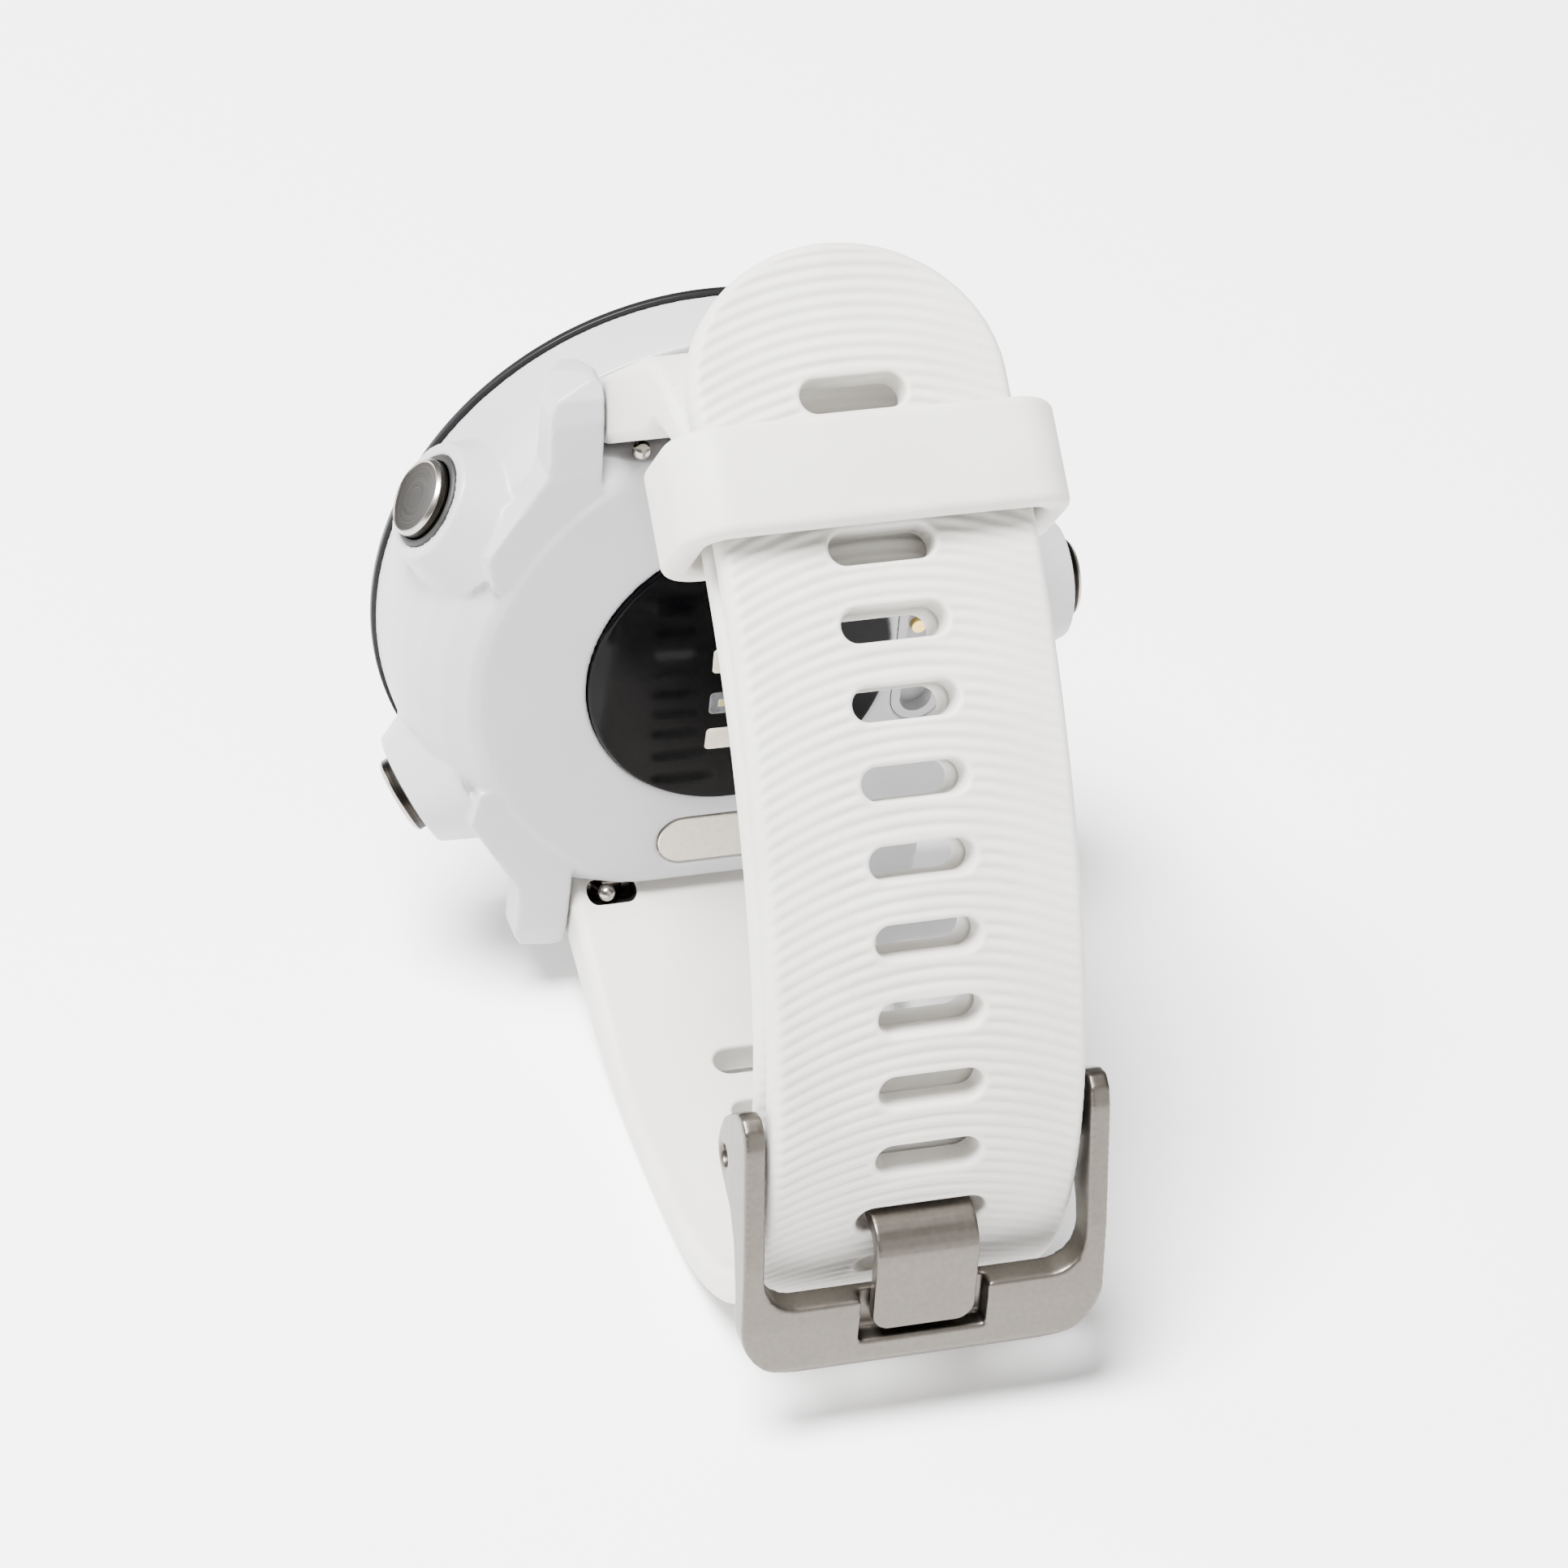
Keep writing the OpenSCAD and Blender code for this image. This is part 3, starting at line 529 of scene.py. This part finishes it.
def strap(name, path, rows, width, slots, half_thickness, edge, ribs, replaced, notch=None):
    """A ribbed strap: two skins over one plan, joined by walls wherever the plan ends."""
    plan, top_faces = slotted_plan(rows, columns, width, slots, notch)
    s, x = plan.T
    rim = np.full(len(plan), 9.0)
    for centre, half in slots:
        rim = np.minimum(rim, np.maximum(pill_distance(s, x, centre, half, SLOT_R), 0))
    border = np.maximum(edge(s, x), 0)
    half, drop = half_thickness(s)
    phase = (s - RIB_BOW + np.sqrt(RIB_BOW ** 2 - x ** 2)) / RIB_PITCH
    wave = (0.5 + 0.5 * np.cos(2 * math.pi * phase)) ** 1.3
    fade = np.clip((border - 0.1) / 0.8, 0.22, 1) * np.clip((rim - 0.15) / 0.5, 0, 1) * ribs(s)
    top = np.minimum(round_over(border, EDGE_R) + round_over(rim, RIM_R)
                     + RIB_DEPTH * wave * fade, half)
    low = np.minimum(round_over(border, EDGE_R) + round_over(rim, RIM_R * 0.7), half)
    outside = bend(path, s, x, -drop - top)
    inside = bend(path, s, x, -drop - 2 * half + low)
    count = len(plan)
    faces = list(top_faces) + [tuple(i + count for i in reversed(f)) for f in top_faces]
    edges = {}
    for face in top_faces:
        for a, b in zip(face, face[1:] + face[:1]):
            edges[(a, b)] = True
    for a, b in edges:
        if (b, a) not in edges:
            faces.append((b, a, a + count, b + count))
    made = piece(name, np.concatenate([outside, inside]), faces, silicone, "watch", replaced)
    return made


def cut_release_recess(made, side):
    """The pocket in a strap's root that lets a fingernail reach the bar's release knob."""
    lean = math.radians(26) * -side
    cutter = rounded_block((3.4, 7.0, 1.5), 0.7)
    # The cut walls take this dark colour: painted shade for the inside of the pocket
    cutter.data.materials.append(pocket_painted_shade)
    cutter.matrix_world = (Matrix.Translation(Vector(to_row((7.25, BAR[0], side * BAR[1]))))
                           @ Matrix.Rotation(lean, 4, "X")
                           @ Matrix.Translation((0, 3.2 * MM, 0)))
    cut = made.modifiers.new("recess", "BOOLEAN")
    cut.material_mode = "TRANSFER"
    cut.object = cutter
    cut.operation = "DIFFERENCE"
    cut.solver = "EXACT"
    apply_modifiers(made)
    bpy.data.objects.remove(cutter)


def rounded_block(size, radius):
    shape = bmesh.new()
    bmesh.ops.create_cube(shape, size=1)
    bmesh.ops.scale(shape, vec=[v * MM for v in size], verts=shape.verts)
    bmesh.ops.bevel(shape, geom=shape.edges[:], offset=radius * MM, segments=5, affect="EDGES",
                    profile=0.5)
    mesh = bpy.data.meshes.new("block")
    shape.to_mesh(mesh)
    shape.free()
    made = bpy.data.objects.new("block", mesh)
    bpy.context.scene.collection.objects.link(made)
    return made


def root_end(s, length, thickness):
    """Half thickness and drop of the outer face, with the strap's end rounded past length."""
    half = np.interp(s, [t[0] for t in thickness], [t[1] / 2 for t in thickness])
    past = np.clip(s - length, 0, half)
    closing = half - np.sqrt(np.maximum(half ** 2 - past ** 2, 0))
    return half - closing, closing


long_path = walk(LONG_BENDS, LONG_START, LONG_L)
short_path, shared_s, shared_along = short_walk()


def make_long_strap():
    cells = SLOT_FIRST - SLOT_PITCH / 2
    per_cell = 32
    tip_angles = np.linspace(0.02, math.acos(1 - cells / TIP), 70)
    tip_rows = TIP * (1 - np.cos(tip_angles))
    slot_rows = cells + np.arange(20 * per_cell + 1) * SLOT_PITCH / per_cell
    plain_rows = np.arange(slot_rows[-1], LONG_L, 0.15)
    end_rows = LONG_L + ROOT_T / 2 * np.sin(np.linspace(0, math.pi / 2, 10))
    rows = np.concatenate([tip_rows, slot_rows[1:], plain_rows[1:], end_rows])
    width = np.where(rows < TIP, np.sqrt(np.maximum(1 - ((TIP - rows) / TIP) ** 2, 0)), 1) * HALF

    def edge(s, x):
        inside_tip = np.hypot(x / HALF, np.clip(TIP - s, 0, TIP) / TIP)
        return (1 - inside_tip) * HALF

    thickness = [(0, STRAP_T), (100, STRAP_T), (LONG_L, ROOT_T)]
    slots = [(SLOT_FIRST + k * SLOT_PITCH, SLOT_HALF + (TONGUE_SLOT_EXTRA if k == TONGUE_SLOT else 0))
             for k in range(20)]
    made = strap("strap_long_silicone", long_path, rows, width, slots,
                 lambda s: root_end(s, LONG_L, thickness), edge,
                 lambda s: np.clip((LONG_L - 4 - s) / 3, 0, 1) * np.clip(s / 1.2, 0, 1),
                 ["strap_long"])
    cut_release_recess(made, -1)


def make_short_strap():
    end = short_path[-1, 3]
    slots = [(np.interp(SLOT_FIRST + k * SLOT_PITCH, shared_s, shared_along), SLOT_HALF)
             for k in range(3, TONGUE_SLOT - 1)]
    rows = [np.arange(0, slots[0][0] - SLOT_PITCH / 2, 0.15)]
    borders = ([slots[0][0] - SLOT_PITCH / 2]
               + [(a[0] + b[0]) / 2 for a, b in zip(slots, slots[1:])]
               + [slots[-1][0] + SLOT_PITCH / 2])
    for low, high in zip(borders, borders[1:]):
        rows.append(np.linspace(low, high, 32, endpoint=False))
    rows.append(np.arange(borders[-1], end, 0.2))
    rows = np.concatenate([-ROOT_T / 2 * np.sin(np.linspace(math.pi / 2, 0.1, 10))] + rows + [[end]])
    width = np.full(len(rows), HALF)

    def thickness(s):
        half = np.interp(s, [t[0] for t in SHORT_THICKNESS], [t[1] / 2 for t in SHORT_THICKNESS])
        past = np.clip(-s, 0, half)
        closing = half - np.sqrt(np.maximum(half ** 2 - past ** 2, 0))
        return half - closing, closing

    made = strap("strap_short_silicone", short_path, rows, width, slots, thickness,
                 lambda s, x: HALF - abs(x), lambda s: np.clip((s - 11) / 2, 0, 1),
                 ["strap_short"], notch=(end - TONGUE_ROOM_DEPTH, TONGUE_ROOM))
    cut_release_recess(made, 1)
    for side, label in ((-1, "left"), (1, "right")):
        eye = rounded([(EYE_BORE, TONGUE_ROOM, 0.15), (EYE_R, TONGUE_ROOM, 0.3),
                       (EYE_R, HALF, 0.4), (EYE_BORE, HALF, 0.15)])
        made = turned("strap_eye_" + label, eye, (0, *PIVOT), (side, 0, 0), silicone, "watch",
                      segments=64)
    # The thin web over the tongue's ring
    turns = np.radians(np.linspace(110, -43, 32))
    outline = [(PIVOT[0] + radius * math.cos(a), PIVOT[1] + radius * math.sin(a))
               for radius, order in ((EYE_R - 0.02, turns), (1.37, turns[::-1])) for a in order]
    count = len(outline)
    points = [(x, y, z) for x in (-3.9, 3.9) for y, z in outline]
    faces = [tuple(range(count)), tuple(range(2 * count - 1, count - 1, -1))]
    faces += [(i, (i + 1) % count, count + (i + 1) % count, count + i) for i in range(count)]
    made = piece("strap_eye_web", points, faces, silicone, "watch", smooth=False)


def make_keeper():
    """The keeper: one soft-edged band swept around a rounded rectangle."""
    place = 15.0
    top, low, side, corner = 1.25, -7.2, 11.45, 2.1
    loop = rounded([(-side, top, corner), (side, top, corner), (side, low, corner),
                    (-side, low, corner)], 10)
    dense = []
    for a, b in zip(loop, loop[1:] + loop[:1]):
        count = max(1, round(math.dist(a, b) / 0.8))
        dense += [(a[0] + (b[0] - a[0]) * i / count, a[1] + (b[1] - a[1]) * i / count)
                  for i in range(count)]
    dense = np.array(dense)
    ahead = np.roll(dense, -1, axis=0) - np.roll(dense, 1, axis=0)
    normal = np.c_[-ahead[:, 1], ahead[:, 0]]
    normal /= np.linalg.norm(normal, axis=1, keepdims=True)
    # The upper bar is crowned a little and pulls in over the strap's edges
    crown = 0.22 * (1 - (dense[:, 0] / side) ** 2) * (dense[:, 1] > 0)
    dense[:, 1] += crown
    length, wall, soft = 6.8, 1.8, 0.62
    profile = rounded([(-wall / 2, -length / 2, soft), (wall / 2, -length / 2, soft),
                       (wall / 2, length / 2, soft), (-wall / 2, length / 2, soft)], 6)
    points = []
    for centre, out in zip(dense, normal):
        for across, along in profile:
            x, rise = centre + out * across
            points.append(bend(long_path, np.array([place]), np.array([x]), np.array([rise]))[0]
                          + along_keeper(along, place))
    n, m = len(dense), len(profile)
    faces = [(i * m + j, i * m + (j + 1) % m, (i + 1) % n * m + (j + 1) % m, (i + 1) % n * m + j)
             for i in range(n) for j in range(m)]
    piece("keeper_loop_silicone", points, faces, silicone, "keeper", ["keeper_loop"])


def along_keeper(distance, place):
    heading = np.interp(place, long_path[:, 3], long_path[:, 2])
    return np.array([0, math.cos(heading), math.sin(heading)]) * distance


# ---- Case and sensor ----------------------------------------------------------------------
def make_sensor():
    """Domed black window with pale and dark cells showing through it."""
    radius, dome, edge_y, back = 10.23, 1.0, 0.3, -1.2
    ball = (radius ** 2 + dome ** 2) / (2 * dome)
    arc = [(r, edge_y + dome - ball + math.sqrt(ball ** 2 - r ** 2))
           for r in np.linspace(0, radius - 0.25, 40)]
    corner = rounded([(arc[-1][0], arc[-1][1], 0), (radius, edge_y, 0.22), (radius, back, 0)],
                     5, closed=False)
    turned("sensor_window", arc + corner[1:] + [(0, back)], (0, 0, 0), (0, 1, 0), sensor_gloss,
           "watch", ["sensor_lens"], 256)
    rows = [(4.5, 0.9, window_dark), (1.65, 0.95, window_pale), (-1.7, 0.88, window_dark),
            (-4.68, 0.9, window_pale)]
    for number, (z, half, finish) in enumerate(rows):
        outline = rounded([(-2.3, z - half, 0.3), (2.3, z - half, 0.3), (2.3, z + half, 0.3),
                           (-2.3, z + half, 0.3)], 5)
        plate("sensor_cell_%d" % (number + 1), outline, 0.012, finish, ball, edge_y + dome,
              ["sensor_windows"] if number == 0 else ())
        for x in (-1.5, 0.1, 1.4):
            if finish is window_dark:
                chip = rounded([(x - 0.28, z - 0.3, 0.05), (x + 0.28, z - 0.3, 0.05),
                                (x + 0.28, z + 0.3, 0.05), (x - 0.28, z + 0.3, 0.05)], 2)
                plate("sensor_chip_%d_%d" % (number + 1, round(x * 10) + 20), chip, 0.02, led_lens,
                      ball, edge_y + dome)


def plate(name, outline, proud, finish, ball, top, replaced=()):
    """A thin plate lying on the sensor's dome."""
    dense = []
    for a, b in zip(outline, outline[1:] + outline[:1]):
        steps = max(1, math.ceil(math.dist(a, b) / 0.3))
        dense += [(a[0] + (b[0] - a[0]) * i / steps, a[1] + (b[1] - a[1]) * i / steps)
                  for i in range(steps)]
    outline = dense
    centre = np.mean([np.min(outline, axis=0), np.max(outline, axis=0)], axis=0)
    points, faces = [], []
    count = len(outline)
    scales = (*np.linspace(0, 0.97, 9), 1.0)
    for k, scale in enumerate(scales):
        lift = proud if k < len(scales) - 1 else -0.02
        for p in outline:
            x, z = centre + (np.array(p) - centre) * scale
            points.append((x, top - ball + math.sqrt(ball ** 2 - x * x - z * z) + lift, z))
    for k in range(len(scales) - 1):
        for i in range(count):
            n = (i + 1) % count
            faces.append((k * count + i, k * count + n, (k + 1) * count + n, (k + 1) * count + i))
    made = piece(name, points, faces, finish, "watch", replaced)


def make_id_plate():
    """The plate in its recess, and a black ring at the floor of the recess around it: painted shade
    for the narrow gap.
    """
    z, half, recess, gap = -13.7, 2.8, 1.85, 0.13
    # The black ring under the gap is painted shade, darkening the gap as its shadow would
    for name, out, back, front, finish in (("id_plate_steel", recess - gap, -0.38, 0.0, steel_plate),
                                           ("id_plate_gap_painted_shade", recess, -0.38, -0.3, rubber)):
        outline = rounded([(-half - out, z - out, out), (half + out, z - out, out),
                           (half + out, z + out, out), (-half - out, z + out, out)], 10)
        count = len(outline)
        inset = 0.06
        points = []
        for level, shrink in ((back, 0), (front - inset, 0), (front, inset)):
            scale = np.array([(half + out - shrink) / (half + out), (out - shrink) / out])
            points += [(x * scale[0], level, z + (up - z) * scale[1]) for x, up in outline]
        faces = [tuple(range(count)), tuple(range(3 * count - 1, 2 * count - 1, -1))]
        for ring in (0, count):
            faces += [(ring + i, ring + (i + 1) % count, ring + count + (i + 1) % count,
                       ring + count + i) for i in range(count)]
        made = piece(name, points, faces, finish, "watch",
                     ["id_plate"] if finish is steel_plate else (), smooth=False)


def make_buttons():
    places = [("upper", 30, 24.0), ("lower", -30, 24.0), ("left", 180, 24.8)]
    for name, angle, face in places:
        axis = (math.cos(math.radians(angle)), 0, math.sin(math.radians(angle)))
        origin = (0, -6.0, 0)
        cap, rim, stem = 2.6, 2.36, 0.8
        outline = rounded([
            (0, face - 0.05, 0), (rim - 0.08, face - 0.05, 0.03), (rim, face, 0.03),
            (rim + 0.06, face, 0.04), (cap, face - 0.22, 0.1), (cap, face - 2.0, 0.1),
            (stem, face - 2.0, 0.1), (stem, 17.6, 0.1), (0, 17.6, 0)], 3, closed=False)
        turned("button_%s_steel" % name, outline, origin, axis, steel_button, "button_" + name,
               ["button_" + name], 128, (steel_bevel, rim - 0.06, face - 0.4))
        collar_base = face - 2.9
        collar = rounded([(0.85, collar_base, 0), (3.1, collar_base, 0), (3.1, face - 0.8, 0.22),
                          (2.65, face - 0.8, 0.12), (2.65, collar_base + 0.25, 0.05),
                          (0.85, collar_base + 0.25, 0)], 4)
        made = turned("collar_%s_rubber" % name, collar, origin, axis, rubber, "watch",
                      ["button_collars"] if name == "upper" else (), 96)


def make_front():
    """Bezel, glass and a plain golf-hole picture on the display."""
    front = -9.8
    rim = front - 1.65
    bezel = rounded([(16.95, front, 0), (20.7, front, 0.1), (20.7, rim, 0.1), (21.75, rim, 0.08),
                     (21.75, rim - 0.75, 0.45), (18.5, rim - 0.75, 0.15),
                     (18.5, front - 0.6, 0), (16.95, front - 0.6, 0)], 6)
    turned("bezel_ring_nylon", bezel, (0, 0, 0), (0, 1, 0), bezel_polymer, "watch",
           ["bezel_ring"], 256)
    pane = rounded([(0, front - 2.5, 0), (18.4, front - 2.5, 0.28), (18.4, front - 0.9, 0.1),
                    (0, front - 0.9, 0)], 6)
    turned("front_lens_glass", pane, (0, 0, 0), (0, 1, 0), glass, "watch", ["front_lens"], 256)
    level = -9.72
    for k in range(60):
        angle = math.radians(6 * k)
        inner = 14.3 if k % 5 == 0 else 15.2
        width = 0.3 if k % 5 == 0 else 0.14
        disc_mark("minute_mark_%02d" % k, angle, inner, 15.9, width, level)
    blob = [(6.2 * math.cos(t) * (1 + 0.16 * math.sin(2 * t + 0.6)),
             1.5 + 8.0 * math.sin(t) * (1 + 0.1 * math.cos(3 * t)))
            for t in np.linspace(0, 2 * math.pi, 72, endpoint=False)]
    screen_shape("display_green", blob, level, screen_green)
    pin = [(0.9, 4.0), (1.15, 4.0), (1.15, 9.0), (0.9, 9.0)]
    screen_shape("display_pin", pin, level - 0.03, screen_grey)
    screen_shape("display_flag", [(1.15, 9.0), (1.15, 6.9), (4.2, 7.95)], level - 0.03, screen_grey)


def disc_mark(name, angle, inner, outer, width, level):
    c, s = math.cos(angle), math.sin(angle)
    shape = [(r * s + w * c, r * c - w * s) for r, w in
             ((inner, -width), (outer, -width), (outer, width), (inner, width))]
    screen_shape(name, shape, level, screen_grey)


def screen_shape(name, shape, level, finish):
    count = len(shape)
    points = [(x, level, z) for x, z in shape] + [(x, level + 0.03, z) for x, z in shape]
    faces = [tuple(range(count)), tuple(range(2 * count - 1, count - 1, -1))]
    faces += [(i, (i + 1) % count, (i + 1) % count + count, i + count) for i in range(count)]
    made = piece(name, points, faces, finish, "watch", smooth=False)


def dress_frame():
    """Finishes of the nodes that stay as they are."""
    looks = {
        "lens_gasket": rubber, "display_panel": screen_off, "display_frame": bezel_polymer,
        "main_board": board, "board_shields": steel_pin, "board_screws": steel_pin,
        "battery": foil, "gps_antenna": gold, "vibration_motor": steel_pin,
        "sensor_leds": led_lens, "sensor_board": board, "sensor_gasket": rubber,
        "charge_port": case_polymer, "charge_contacts": gold,
        "seal_upper": rubber, "seal_lower": rubber, "seal_left": rubber,
        "clip_upper": steel_pin, "clip_lower": steel_pin, "clip_left": steel_pin,
        "dome_switches": steel_pin, "spring_bar_upper": steel_pin, "spring_bar_lower": steel_pin,
        "bar_pins": steel_pin, "release_pin_upper": steel_knob, "release_pin_lower": steel_knob,
        "buckle_bar": steel_knob,
    }
    for name, finish in looks.items():
        mesh = nodes[name].data
        if not mesh.materials:
            mesh.materials.append(finish)
        for index in range(len(mesh.materials)):
            mesh.materials[index] = finish


make_long_strap()
make_short_strap()
make_keeper()
softened("case_shell_nylon", "case_body", case_polymer, 0.16, 3)
softened("buckle_frame_steel", "buckle_frame", steel_buckle, 0.13, 14)
softened("buckle_tongue_steel", "buckle_tongue", steel_buckle, 0.1, 8)
make_sensor()
make_id_plate()
make_buttons()
make_front()
dress_frame()


# ---- Floor, light and camera --------------------------------------------------------------
low, high = (Vector(corner) for corner in cad_box)
middle = (low + high) / 2
FLOOR_HALF = 3.0
floor_mesh = bpy.data.meshes.new("floor")
floor_mesh.from_pydata([(x * FLOOR_HALF, y * FLOOR_HALF, 0)
                        for x, y in ((-1, -1), (1, -1), (1, 1), (-1, 1))], [], [(0, 1, 2, 3)])
floor = bpy.data.objects.new("floor", floor_mesh)
bpy.context.scene.collection.objects.link(floor)
floor_mesh.materials.append(material("paper_white_backdrop", "FFFFFF", 0.9))

world = bpy.data.worlds.new("soft studio")
bpy.context.scene.world = world
world.use_nodes = True
world.node_tree.nodes["Background"].inputs["Color"].default_value = linear("FDFDFF")
world.node_tree.nodes["Background"].inputs["Strength"].default_value = 0.42


def soft_box(name, place, size, power):
    light = bpy.data.lights.new(name, "AREA")
    light.shape = "DISK"
    light.size = size
    light.energy = power
    made = bpy.data.objects.new(name, light)
    bpy.context.scene.collection.objects.link(made)
    made.location = middle + Vector(place)
    made.rotation_euler = (middle - made.location).to_track_quat("-Z", "Y").to_euler()


soft_box("overhead", (0.3, 0.1, 0.85), 0.45, 50)
soft_box("fill", (-0.3, 0.7, 0.3), 0.6, 2)
soft_box("rim", (0.6, -0.3, 0.4), 0.5, 5)

# Camera: a long lens from behind and above, leaning a little. Its place is in metres
HEADING, ELEVATION, ROLL = 20.19, 36.43, 5.65
CAMERA = Vector((0.1182, 0.31205, 0.27438))
camera_data = bpy.data.cameras.new("camera")
camera_data.lens = 151.2
camera = bpy.data.objects.new("camera", camera_data)
bpy.context.scene.collection.objects.link(camera)
heading, elevation = math.radians(HEADING), math.radians(ELEVATION)
away = Vector((math.sin(heading) * math.cos(elevation), math.cos(heading) * math.cos(elevation),
               math.sin(elevation)))
turn = away.to_track_quat("Z", "Y").to_matrix().to_4x4()
camera.matrix_world = Matrix.Translation(CAMERA) @ turn @ Matrix.Rotation(
    math.radians(ROLL), 4, "Z")
bpy.context.scene.camera = camera

bpy.context.view_layer.update()
